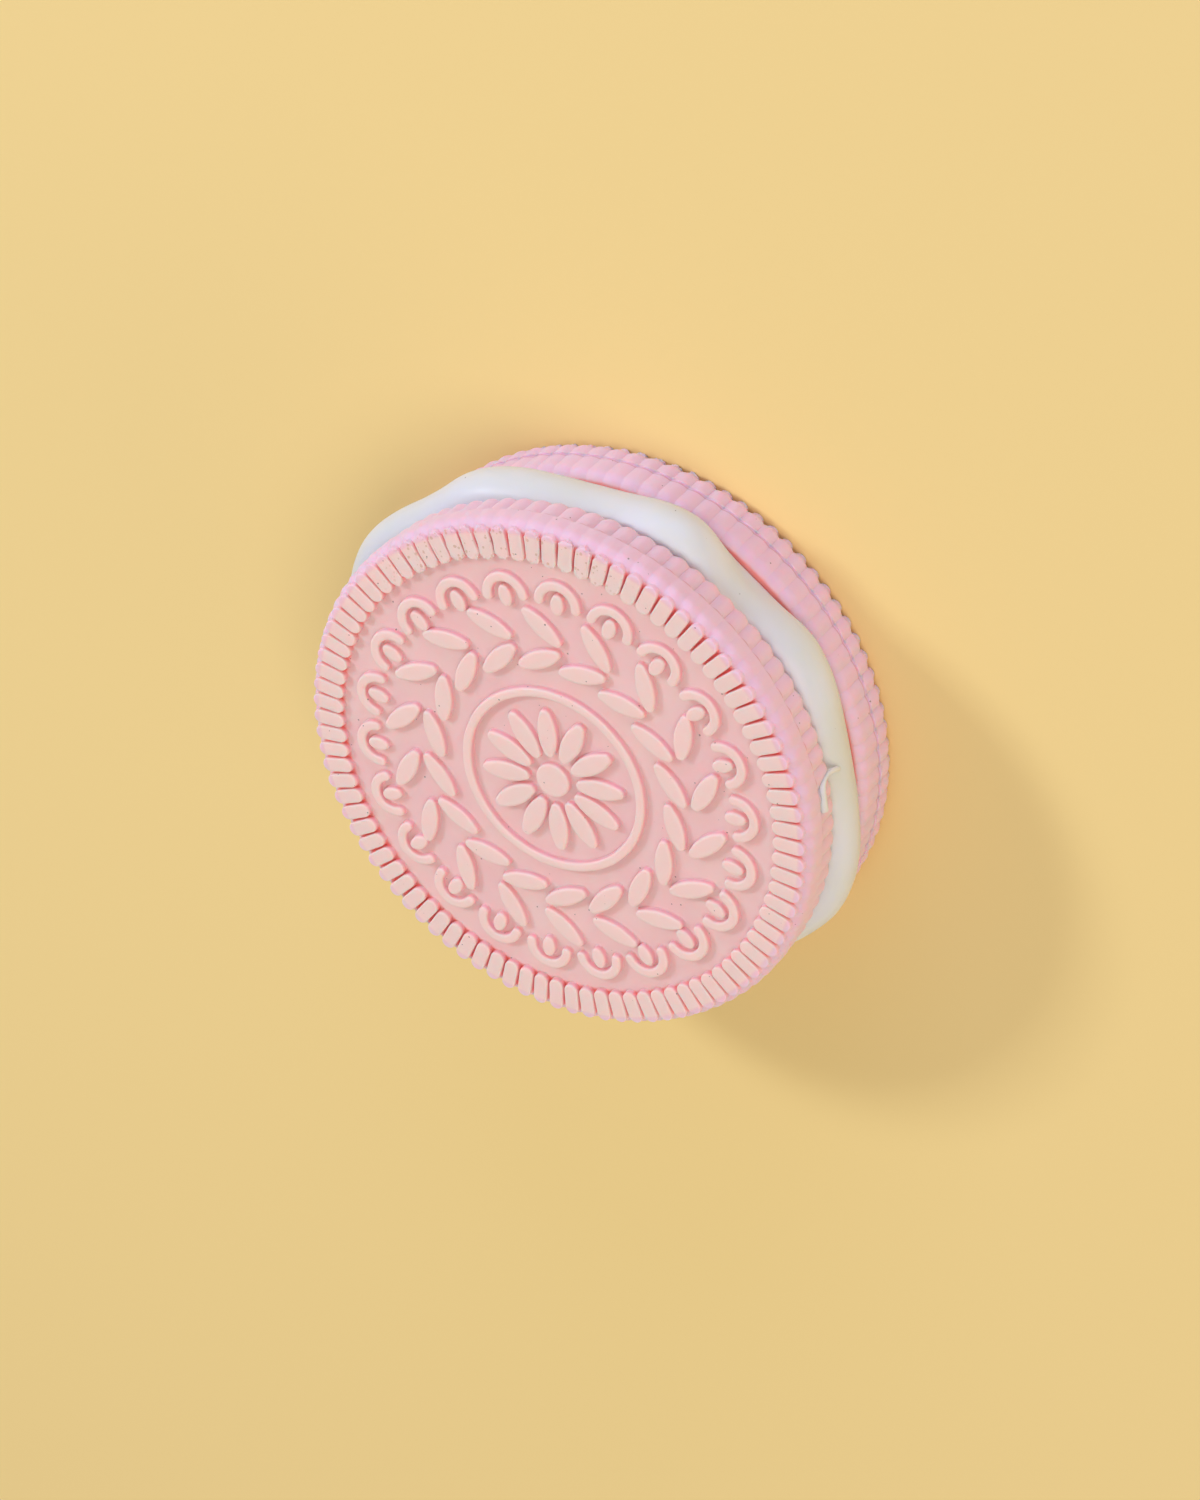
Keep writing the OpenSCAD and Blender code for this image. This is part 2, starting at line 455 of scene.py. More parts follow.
@dataclass
class Rim:
    """Side, shoulder and face field of a wafer, with flutes all round."""

    sizes: EraserSizes
    flutes: Flutes
    fan: tuple[float, ...] = (-1, -0.93, -0.8, -0.6, -0.4, -0.2, 0, 0.2, 0.4, 0.6, 0.8, 0.93, 1)
    inner_run: float = 0.3
    edge_steps: int = 6
    side_sharp: float = 0.8
    end_sharp: float = 0.35
    shoulder_steps: int = 7
    extra_drop: float = 0.18
    wobble: float = 0.02
    ripple: float = 0.008

    def section(self) -> list[tuple[float, float, float, float]]:
        """Points of the section: radius, height, depth of the flutes and their sharpness.

        Returns:
            The points, from the inner face round the side to the field of the face.
        """
        s, cut = self.sizes, self.flutes
        edge_r, side_r = s.inner_edge_r, s.side_r
        points = [(side_r - edge_r - self.inner_run, 0.0, 0.0, 1.0)]
        for i in range(self.edge_steps + 1):
            turn = math.pi / 2 * i / self.edge_steps
            depth = cut.side * min(1.0, 0.25 + 1.2 * i / self.edge_steps)
            points.append((
                side_r - edge_r + edge_r * math.sin(turn), edge_r - edge_r * math.cos(turn),
                depth if i else 0.0, self.side_sharp,
            ))
        parting_z = s.wafer_t - s.parting_depth
        for rise in (-1.1, -0.55, -0.15):
            points.append((side_r, parting_z + rise, cut.side, self.side_sharp))
        points += [
            (side_r - 0.01, parting_z - 0.06, cut.side, self.side_sharp),
            (side_r - 0.05, parting_z - 0.02, cut.side, self.side_sharp),
            (side_r - 0.02, parting_z + 0.02, cut.band, cut.sharp),
            (s.wafer_r - 0.04, parting_z + 0.03, cut.band, cut.sharp),
            (s.wafer_r, parting_z + 0.08, cut.band, cut.sharp),
        ]
        dam_r = s.wafer_r - s.shoulder_r
        round_z = s.wafer_t - s.shoulder_drop - self.extra_drop - s.shoulder_r
        for share in (0.3, 0.65):
            points.append((
                s.wafer_r, parting_z + (round_z - parting_z) * share,
                cut.band + (cut.rounding - cut.band) * share * 0.6, cut.sharp,
            ))
        for i in range(self.shoulder_steps + 1):
            turn = math.pi / 2 * i / self.shoulder_steps
            swell = min(1.0, 0.6 + i / self.shoulder_steps)
            depth = cut.band + (cut.rounding - cut.band) * swell
            points.append((
                dam_r + s.shoulder_r * math.cos(turn), round_z + s.shoulder_r * math.sin(turn),
                depth * (1 - 0.25 * i / self.shoulder_steps), cut.sharp,
            ))
        top_z = round_z + s.shoulder_r
        points += [
            (dam_r - 0.07, top_z - 0.02, cut.rounding * 0.7, cut.sharp),
            (dam_r - 0.12, top_z - 0.1, cut.rounding * 0.5, cut.sharp),
            (dam_r - 0.15, top_z - 0.17, 0.04, self.end_sharp),
            (dam_r - 0.19, s.floor_z + 0.04, 0.0, self.end_sharp),
            (dam_r - 0.26, s.floor_z, 0.0, self.end_sharp),
        ]
        return points

    def flute_sector(self, rows: np.ndarray) -> Obj:
        """One flute of the rim, from valley to valley.

        Args:
            rows: The section's points, one in each row.

        Returns:
            The object.
        """
        steps = len(self.fan) - 1
        pitch = FULL_TURN / self.sizes.lug_count
        sector = chain("rim", [(r, z) for r, z, _, _ in rows])
        with editing(sector):
            spin(steps, pitch)
        places = positions(sector)
        radius = np.hypot(places[:, 0], places[:, 1])
        turn = np.abs(np.arctan2(places[:, 1], places[:, 0]))
        column = np.rint(turn / pitch * steps).astype(int)
        gap = np.hypot(radius[:, None] - rows[None, :, 0], places[:, 2:3] - rows[None, :, 1])
        row = gap.argmin(axis=1)
        along = np.gradient(rows[:, :2], axis=0)
        outward = np.stack([along[:, 1], -along[:, 0]], axis=1)
        outward /= np.linalg.norm(outward, axis=1)[:, None]
        share = np.array(self.fan)[column]
        sharp = rows[row, 3]
        valley = sharp * share ** 2 + (1 - sharp) * (1 - np.cos(math.pi * share)) / 2
        depth = rows[row, 2] * valley
        radius = rows[row, 0] - outward[row, 0] * depth
        height = rows[row, 1] - outward[row, 1] * depth
        turn = share * pitch / 2
        set_positions(
            sector, np.stack([radius * np.cos(turn), radius * np.sin(turn), height], axis=1)
        )
        return sector

    def build(self) -> Obj:
        """Model the rim, and close it to a solid."""
        rows = np.array(self.section())
        rim = self.flute_sector(rows)
        repeat_round(rim, self.sizes.lug_count)
        places = positions(rim)
        side = np.hypot(places[:, 0], places[:, 1]) > self.sizes.wafer_r - self.sizes.shoulder_r
        for i in np.nonzero(side)[0]:
            spot = Vector(places[i])
            push = self.wobble * noise.noise(spot * 0.45) + self.ripple * noise.noise(spot * 2.1)
            places[i, :2] *= 1 - abs(push) / self.sizes.wafer_r
        set_positions(rim, places)
        close_up(rim)
        return rim


@dataclass
class LugRing:
    """The ring of bars with round ends on a wafer's face."""

    sizes: EraserSizes
    section: ReliefSection = LUG_SECTION
    end_points: int = 9
    swell: float = 0.03
    sink: float = 0.2
    seed: int = 7
    worn_from: float = 62.0
    worn_to: float = 134.0
    worn_fade: float = 12.0
    width_spread: Point = (-0.035, 0.02)
    slant_spread: float = 0.012
    end_spread: float = 0.05
    drop_spread: float = 0.03
    drop_from: float = 0.2
    dent: float = 0.012
    tear: float = 0.1

    def lug(self) -> Obj:
        """One lug on the X axis, as a closed solid."""
        s = self.sizes
        width = s.lug_w + self.swell + 2 * self.section.flare
        straight = s.lug_len - s.lug_w - self.swell
        lug = disc("lug", 2 * self.end_points, width / 2)
        places = positions(lug)
        places[places[:, 0] > 0, 0] += straight
        places[:, 0] += s.lug_inner_r + (s.lug_w + self.swell) / 2
        set_positions(lug, places)
        self.section.raise_from(lug, s.floor_z, self.sink)
        return lug

    def worn(self, places: np.ndarray) -> np.ndarray:
        """How worn each place is, from 0 to 1, by its angle round the wafer."""
        turn = np.degrees(np.arctan2(places[:, 1], places[:, 0]))
        rise = np.clip((turn - self.worn_from) / self.worn_fade, 0, 1)
        fall = np.clip((self.worn_to - turn) / self.worn_fade, 0, 1)
        return np.minimum(rise, fall)

    def build(self) -> Obj:
        """Model all lugs, each a little different, rough where the real ones are."""
        s = self.sizes
        ring = self.lug()
        with editing(ring):
            bpy.ops.mesh.remove_doubles(threshold=0.01)
        repeat_round(ring, s.lug_count)
        places = positions(ring)
        pitch = FULL_TURN / s.lug_count
        which = np.rint(np.arctan2(places[:, 1], places[:, 0]) / pitch).astype(int) % s.lug_count
        chance = np.random.default_rng(self.seed)
        turn = which * pitch
        along = places[:, 0] * np.cos(turn) + places[:, 1] * np.sin(turn)
        across = places[:, 1] * np.cos(turn) - places[:, 0] * np.sin(turn)
        middle = (s.lug_inner_r + s.lug_outer_r) / 2
        wide = 1 + chance.uniform(*self.width_spread, s.lug_count)[which]
        slant = chance.uniform(-self.slant_spread, self.slant_spread, s.lug_count)[which]
        ends = chance.uniform(-self.end_spread, self.end_spread, s.lug_count)[which]
        drop = chance.uniform(0, self.drop_spread, s.lug_count)[which]
        across = across * wide + slant * (along - middle)
        along = along + ends * (along < middle)
        places = np.stack([
            along * np.cos(turn) - across * np.sin(turn),
            along * np.sin(turn) + across * np.cos(turn),
            places[:, 2] - drop * (places[:, 2] > s.floor_z + self.drop_from),
        ], axis=1)
        set_positions(ring, places)
        pick(ring, self.worn(places) > 0.05)
        with editing(ring, keep=True):
            bpy.ops.mesh.subdivide(number_cuts=1)
        self.roughen(ring)
        return ring

    def roughen(self, ring: Obj) -> None:
        """Give the lugs soft dents, and the worn ones ragged edges and pits."""
        s = self.sizes
        places = positions(ring)
        worn = self.worn(places)
        for i, place in enumerate(places):
            if place[2] < s.floor_z - self.sink / 2:
                continue
            spot = Vector(place)
            soft = self.dent * noise.noise(spot * 1.3)
            shake = noise.noise_vector(spot * 3.1) + noise.noise_vector(spot * 8.3)
            ragged = self.tear * worn[i]
            place[0] += ragged * shake[0] + soft
            place[1] += ragged * shake[1] - soft
            place[2] = min(place[2] + ragged * shake[2] * 0.7, s.wafer_t)
        set_positions(ring, places)


@dataclass
class FacePattern:
    """Raised pattern inside the lug ring: a rosette, a leaf wreath and an arched border."""

    sizes: EraserSizes
    section: ReliefSection = MOTIF_SECTION
    sink: float = 0.2
    side_steps: int = 6
    tip_steps: int = 6
    petal_tip_r: float = 0.5
    leaf_tip_r: float = 0.45
    boss_points: int = 48
    ring_points: int = 144
    outer_steps: int = 18
    inner_steps: int = 12
    end_steps: int = 7
    shift_side: float = 0.02
    shift_up: float = 0.015
    settle: float = 0.008

    def leaf(self, name: str, length: float, width: float, tip_r: float) -> Obj:
        """A slim raised leaf along the X axis, whose sides run smoothly into round tips.

        Args:
            name: Name of the object.
            length: Length from tip to tip.
            width: Width across the middle.
            tip_r: Radius of the tips.

        Returns:
            A closed solid.
        """
        half = length / 2 + self.section.flare
        width += 2 * self.section.flare
        tip_r += self.section.flare
        tip_x = half - tip_r
        side_r = (tip_x ** 2 + width ** 2 / 4 - tip_r ** 2) / (width - 2 * tip_r)
        depth = side_r - width / 2
        lean = math.atan2(depth, tip_x)
        side_turn, tip_turn = math.degrees(2 * lean) - 180, -math.degrees(2 * lean)
        leaf = arc_outline(name, (-tip_x - tip_r * math.cos(lean), tip_r * math.sin(lean)), [
            Arc((0, -depth), side_turn, self.side_steps), Arc((tip_x, 0), tip_turn, self.tip_steps),
            Arc((0, depth), side_turn, self.side_steps), Arc((-tip_x, 0), tip_turn, self.tip_steps),
        ])
        self.section.raise_from(leaf, self.sizes.floor_z, self.sink)
        return leaf

    def boss(self) -> Obj:
        """The round boss in the middle."""
        boss = disc("boss", self.boss_points, self.sizes.boss_r + self.section.flare)
        self.section.raise_from(boss, self.sizes.floor_z, self.sink)
        return boss

    def petals(self) -> Obj:
        """The ring of petals round the boss."""
        s = self.sizes
        petal = self.leaf("petals", s.petal_len, s.petal_w, self.petal_tip_r)
        move_shape(petal, 0, (s.petal_mid_r, 0))
        repeat_round(petal, s.petal_count)
        return petal

    def plain_ring(self) -> Obj:
        """The plain ring round the petals, as a section spun a full turn."""
        s = self.sizes
        inward = sum(step[0] for step in self.section.steps[:-1])
        outer, inner = s.ring_r + self.section.flare, s.ring_r - s.ring_w - self.section.flare
        up: list[Point] = [(0.0, -self.sink), (0.0, 0.0)]
        for draw_in, rise in self.section.steps[:-1]:
            up.append((up[-1][0] + draw_in, up[-1][1] + rise))
        middle = (outer + inner) / 2
        room = min(1.0, (outer - inner) / 2 / (inward + 0.02))
        points = [(outer - room * x, s.floor_z + z) for x, z in up]
        points.append((middle, s.wafer_t))
        points += [(inner + room * x, s.floor_z + z) for x, z in reversed(up)]
        ring = chain("plain_ring", points + [points[0]])
        with editing(ring):
            spin(self.ring_points, FULL_TURN)
            bpy.ops.mesh.select_all(action="SELECT")
            bpy.ops.mesh.remove_doubles(threshold=TINY)
            bpy.ops.mesh.normals_make_consistent(inside=False)
        return ring

    def wreath(self) -> Obj:
        """Pairs of leaves that spread from a shared stem end."""
        s = self.sizes
        leaves = []
        for side in (1, -1):
            leaf = self.leaf("leaf", s.leaf_len, s.leaf_shape * s.leaf_len, self.leaf_tip_r)
            leaf.data.transform(Matrix.Translation((s.leaf_len / 2, 0, 0)))
            stem = s.wreath_r + side * s.stem_share * s.leaf_shape * s.leaf_len
            move_shape(leaf, 90 - side * s.leaf_tilt, (stem, 0))
            leaves.append(leaf)
        wreath = join("wreath", leaves)
        repeat_round(wreath, s.leaf_count)
        return wreath

    def arch(self) -> Obj:
        """Outline of one arch, open to the middle of the wafer."""
        s = self.sizes
        width = s.arch_w + 2 * self.section.flare
        leg_r = s.arch_r - s.arch_w / 2
        return arc_outline("arch", (0, -leg_r - width / 2), [
            Arc((0, 0), 180, self.outer_steps), Arc((0, leg_r), 180, self.end_steps),
            Arc((0, 0), -180, self.inner_steps), Arc((0, -leg_r), 180, self.end_steps),
        ])

    def border(self) -> Obj:
        """The border of arches with a drop under each."""
        s = self.sizes
        arch = self.arch()
        self.section.raise_from(arch, s.floor_z, self.sink)
        drop = self.leaf("drop", s.drop_len, s.drop_shape * s.drop_len, self.leaf_tip_r)
        border = join("border", [arch, drop])
        move_shape(border, 0, (s.arch_centre_r, 0))
        repeat_round(border, s.arch_count)
        return border

    def build(self) -> list[Obj]:
        """Model all parts of the pattern, as closed solids that are to be merged."""
        parts = [self.boss(), self.petals(), self.plain_ring(), self.wreath(), self.border()]
        for part in parts:
            self.soften(part)
        return parts

    def soften(self, part: Obj) -> None:
        """Give a part the slight unevenness of a soft moulding."""
        places = positions(part)
        top = self.sizes.wafer_t
        for place in places:
            if place[2] > self.sizes.floor_z + TINY:
                shift = noise.noise_vector(Vector(place) * 1.1)
                place[0] += self.shift_side * shift[0]
                place[1] += self.shift_side * shift[1]
                place[2] = min(top, place[2] + self.shift_up * shift[2] - self.settle)
        set_positions(part, places)


@dataclass
class WaferMould:
    """Makes a whole wafer, and puts it in its place in the eraser."""

    sizes: EraserSizes
    flutes: Flutes
    smooth_angle: float = 42.0
    flat_share: float = 0.9995
    flat_room: float = 0.01
    wear_fade: float = 0.3

    def build(self) -> Obj:
        """Model the wafer: rim, lugs and pattern merged into one skin."""
        wafer = Rim(self.sizes, self.flutes).build()
        unite(wafer, LugRing(self.sizes).build())
        for part in FacePattern(self.sizes).build():
            unite(wafer, part)
        make_active(wafer)
        bpy.ops.object.shade_smooth_by_angle(angle=math.radians(self.smooth_angle))
        self.flatten_fields(wafer)
        self.mark_wear(wafer)
        return wafer

    def flatten_fields(self, wafer: Obj) -> None:
        """Shade the level fields flat, so that they stay even up to the raised shapes."""
        for face in wafer.data.polygons:
            height = face.center.z
            on_floor = abs(height - self.sizes.floor_z) < self.flat_room
            if abs(face.normal.z) > self.flat_share and (height < self.flat_room or on_floor):
                face.use_smooth = False

    def mark_wear(self, wafer: Obj) -> None:
        """Store how worn the skin is."""
        s = self.sizes
        places = positions(wafer)
        radius = np.hypot(places[:, 0], places[:, 1])
        on_lugs = np.clip((radius - s.lug_inner_r) / self.wear_fade + 1, 0, 1)
        raised = np.clip((places[:, 2] - s.floor_z) / s.relief, 0, 1)
        worn = LugRing(s).worn(places) * on_lugs * raised
        store = wafer.data.attributes.new("worn", "FLOAT", "POINT")
        store.data.foreach_set("value", worn.astype(np.float32))

    def press(self, name: str, node: str, side: Side, finish: bpy.types.Material) -> None:
        """Model a wafer, turn it the right way up, and put it in its place in the eraser.

        Args:
            name: Name of the piece.
            node: CAD node that it stands for.
            side: Which way its pattern looks.
            finish: Its material.
        """
        s = self.sizes
        wafer = self.build()
        wafer.name = name
        lift = s.wafer_t + s.filling_t if side is Side.UP else s.wafer_t
        turn = Matrix.Diagonal((1, 1, side.value, 1))
        wafer.data.transform(Matrix.Translation((0, 0, lift)) @ turn)
        if side is Side.DOWN:
            wafer.data.flip_normals()
        make_active(wafer)
        even = wafer.modifiers.new("even", "WEIGHTED_NORMAL")
        even.mode = "FACE_AREA"
        even.keep_sharp = True
        bpy.ops.object.modifier_apply(modifier=even.name)
        dress(wafer, finish)
        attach(wafer, "root")
        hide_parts(node)
        report(wafer)


# The filling


@dataclass
class Filling:
    """Soft white filling with a wavy round edge, and a thin string of flash on one side."""

    sizes: EraserSizes
    columns: int = 360
    rows: int = 18
    least: float = -0.1
    softness: float = 0.03
    smooth_angle: float = 50.0
    waves: tuple[Point, ...] = (
        (-50, -0.8), (-26, 0.6), (6, -0.6), (30, 0.4), (48, -1.3), (64, 0.6), (84, -0.6),
        (112, 0.7), (123, 0.3), (144, 1.4), (170, -0.2), (195, 0.6), (222, -0.7), (248, 0.5),
        (275, -0.4), (292, 0.3), (310, -0.8),
    )

    def wave(self, turn: float) -> float:
        """How far the outline lies off its mean radius at an angle in degrees."""
        turn = turn % 360
        turn = turn - 360 if turn >= self.waves[-1][0] else turn
        for (a0, w0), (a1, w1) in zip(self.waves, self.waves[1:]):
            if a0 <= turn <= a1:
                return w0 + (w1 - w0) * (1 - math.cos(math.pi * (turn - a0) / (a1 - a0))) / 2
        return 0.0

    def bead(self) -> Obj:
        """The body of the filling."""
        s = self.sizes
        points = []
        for i in range(self.rows + 1):
            turn = math.pi * (i / self.rows - 0.5)
            points.append((
                s.bead_r + s.bead_bulge * math.cos(turn),
                s.wafer_t + s.filling_t * (1 + math.sin(turn)) / 2,
            ))
        bead = chain("filling", points)
        with editing(bead):
            spin(self.columns, FULL_TURN)
        close_up(bead)
        places = positions(bead)
        for place in places:
            radius = math.hypot(place[0], place[1])
            turn = math.atan2(place[1], place[0])
            inner = min(1.0, abs(place[2] - s.total_t / 2) / (s.filling_t / 2))
            offset = self.wave(math.degrees(turn))
            offset = max(offset, offset + (self.least - offset) * inner ** 4)
            soft = self.softness * (1 + noise.noise(Vector(place) * 0.5)) * (1 - inner ** 6)
            place[:2] *= (radius + offset - soft) / radius
        set_positions(bead, places)
        return bead

    def flash_string(self) -> Obj:
        """The string of filling that hangs over the top wafer's edge."""
        # Radius, angle in degrees, height and half thickness of each point
        path = (
            (22.0, 5.6, 8.2, 0.2), (22.2, 6.1, 8.6, 0.24), (22.3, 7.0, 9.3, 0.2),
            (22.3, 7.4, 10.2, 0.22), (22.28, 7.1, 10.8, 0.25), (22.24, 6.1, 11.2, 0.29),
            (22.24, 4.6, 11.42, 0.35), (22.2, 2.8, 11.5, 0.42), (22.18, 1.0, 11.46, 0.44),
        )
        curve = bpy.data.curves.new("flash", "CURVE")
        curve.dimensions = "3D"
        curve.bevel_depth = 1.0
        curve.bevel_resolution = 4
        curve.use_fill_caps = True
        line = curve.splines.new("POLY")
        line.points.add(4 * (len(path) - 1))
        fine = np.linspace(0, len(path) - 1, len(line.points))
        spots = np.array(path)
        for point, at in zip(line.points, fine):
            r, turn, z, thick = (np.interp(at, range(len(path)), column) for column in spots.T)
            turn = math.radians(turn)
            point.co = (r * math.cos(turn), r * math.sin(turn), z, 1)
            point.radius = thick
        string = add_object("flash", curve)
        make_active(string)
        bpy.ops.object.convert(target="MESH")
        string = bpy.context.object
        close_up(string)
        return string

    def build(self, finish: bpy.types.Material) -> None:
        """Model the filling, and put it in its place."""
        filling = self.bead()
        unite(filling, self.flash_string())
        make_active(filling)
        bpy.ops.object.shade_smooth_by_angle(angle=math.radians(self.smooth_angle))
        filling.name = "white_filling"
        dress(filling, finish)
        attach(filling, "root")
        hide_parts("filling")
        report(filling)


# Finishes


class NodeSheet:
    """Adds and links the nodes of one tree."""

    def __init__(self, tree: bpy.types.NodeTree) -> None:
        """Start from an empty tree."""
        self.tree = tree
        tree.nodes.clear()

    def add(self, kind: str, settings: dict | None = None, **inputs: object) -> bpy.types.Node:
        """Add a node.

        Args:
            kind: The node's type.
            settings: Its properties.
            **inputs: Values or sockets for its inputs, with _ for a space in their names.

        Returns:
            The node.
        """
        node = self.tree.nodes.new(kind)
        for key, value in (settings or {}).items():
            setattr(node, key, value)
        for key, value in inputs.items():
            socket = node.inputs[int(key[1:]) if key[0] == "i" and key[1:].isdigit()
                                 else key.replace("_", " ")]
            if isinstance(value, Socket):
                self.tree.links.new(value, socket)
            else:
                socket.default_value = value
        return node

    def math(self, operation: str, first: object, second: object = 0.0) -> Socket:
        """Add a maths node, and return its result."""
        node = self.add("ShaderNodeMath", {"operation": operation}, i0=first, i1=second)
        return node.outputs[0]

    def times(self, first: object, second: object) -> Socket:
        """Multiply two values, and return the result."""
        return self.math("MULTIPLY", first, second)

    def place(self) -> Socket:
        """The place on the object, in metres."""
        return self.add("ShaderNodeTexCoord").outputs["Object"]

    def ramp(self, value: object, low: float, high: float) -> Socket:
        """Map a value smoothly from low..high to 0..1, and return it."""
        node = self.add(
            "ShaderNodeMapRange", {"interpolation_type": "SMOOTHSTEP"},
            Value=value, From_Min=low, From_Max=high,
        )
        return node.outputs[0]

    def mix(self, share: object, first: object, second: object) -> Socket:
        """Mix two colours by a share, and return the result."""
        node = self.tree.nodes.new("ShaderNodeMix")
        node.data_type = "RGBA"
        for index, value in ((0, share), (6, first), (7, second)):
            if isinstance(value, Socket):
                self.tree.links.new(value, node.inputs[index])
            else:
                node.inputs[index].default_value = (*value, 1) if index else value
        return node.outputs[2]

    def surface(self, strength: float, depth: float, height: object, **inputs: object) -> None:
        """Finish a material: its bump, its shader and the output.

        Args:
            strength: Strength of the bump.
            depth: Distance of the bump in metres.
            height: Height of the bump.
            **inputs: Inputs of the shader.
        """
        bump = self.add("ShaderNodeBump", Strength=strength, Distance=depth, Height=height)
        shader = self.add(
            "ShaderNodeBsdfPrincipled", {"subsurface_method": "RANDOM_WALK"},
            Normal=bump.outputs["Normal"], **inputs,
        )
        self.add("ShaderNodeOutputMaterial", Surface=shader.outputs[0])


def start_material(name: str) -> tuple[bpy.types.Material, NodeSheet]:
    """Start a material, and return it with its empty sheet."""
    made = bpy.data.materials.new(name)
    made.use_nodes = True
    return made, NodeSheet(made.node_tree)


def effect_group(
    name: str, inputs: dict[str, float], outputs: Sequence[str]
) -> tuple[bpy.types.NodeTree, NodeSheet, bpy.types.Node]:
    """Start a node group with number inputs and number outputs.

    Args:
        name: Name of the group.
        inputs: Each input's name and default.
        outputs: The outputs' names.

    Returns:
        The group, its sheet and its input node.
    """
    group = bpy.data.node_groups.new(name, "ShaderNodeTree")
    for key, value in inputs.items():
        socket = group.interface.new_socket(key, in_out="INPUT", socket_type="NodeSocketFloat")
        socket.default_value = value
    for key in outputs:
        group.interface.new_socket(key, in_out="OUTPUT", socket_type="NodeSocketFloat")
    sheet = NodeSheet(group)
    return group, sheet, sheet.add("NodeGroupInput")


def moulded_grain() -> bpy.types.NodeTree:
    """Fine grain and soft dents of a moulded rubber skin."""
    group, sheet, given = effect_group(
        "moulded_grain", {"Grain Scale": 6000.0, "Dent Scale": 700.0}, ("Height", "Mottle")
    )
    place = sheet.place()
    grain = sheet.add(
        "ShaderNodeTexNoise", Vector=place, Scale=given.outputs["Grain Scale"],
        Detail=3.0, Roughness=0.6,
    )
    dents = sheet.add(
        "ShaderNodeTexNoise", Vector=place, Scale=given.outputs["Dent Scale"],
        Detail=4.0, Roughness=0.55,
    )
    cloud = sheet.add("ShaderNodeTexNoise", Vector=place, Scale=160.0, Detail=3.0)
    height = sheet.math("ADD", sheet.times(grain.outputs["Fac"], 0.4), dents.outputs["Fac"])
    mottle = sheet.ramp(cloud.outputs["Fac"], 0.3, 0.7)
    sheet.add("NodeGroupOutput", Height=height, Mottle=mottle)
    return group


def dust_specks() -> bpy.types.NodeTree:
    """Sparse small specks of dust and grit."""
    group, sheet, given = effect_group(
        "dust_specks", {"Cell Scale": 500.0, "Size": 0.1, "Share": 0.2}, ("Mask",)
    )
    place = sheet.place()
    cells = sheet.add("ShaderNodeTexVoronoi", Vector=place, Scale=given.outputs["Cell Scale"])
    pick_one = sheet.add("ShaderNodeSeparateColor", Color=cells.outputs["Color"])
    chosen = sheet.math("LESS_THAN", pick_one.outputs[0], given.outputs["Share"])
    size = sheet.times(given.outputs["Size"], sheet.math("ADD", pick_one.outputs[1], 0.4))
    near = sheet.math("LESS_THAN", cells.outputs["Distance"], size)
    sheet.add("NodeGroupOutput", Mask=sheet.times(chosen, near))
    return group


@dataclass(frozen=True)
class Effects:
    """The node groups that the finishes share."""

    grain: bpy.types.NodeTree
    specks: bpy.types.NodeTree


def place_group(sheet: NodeSheet, group: bpy.types.NodeTree, **inputs: float) -> bpy.types.Node:
    """Put a node group on a sheet with its own values."""
    return sheet.add("ShaderNodeGroup", {"node_tree": group}, **inputs)


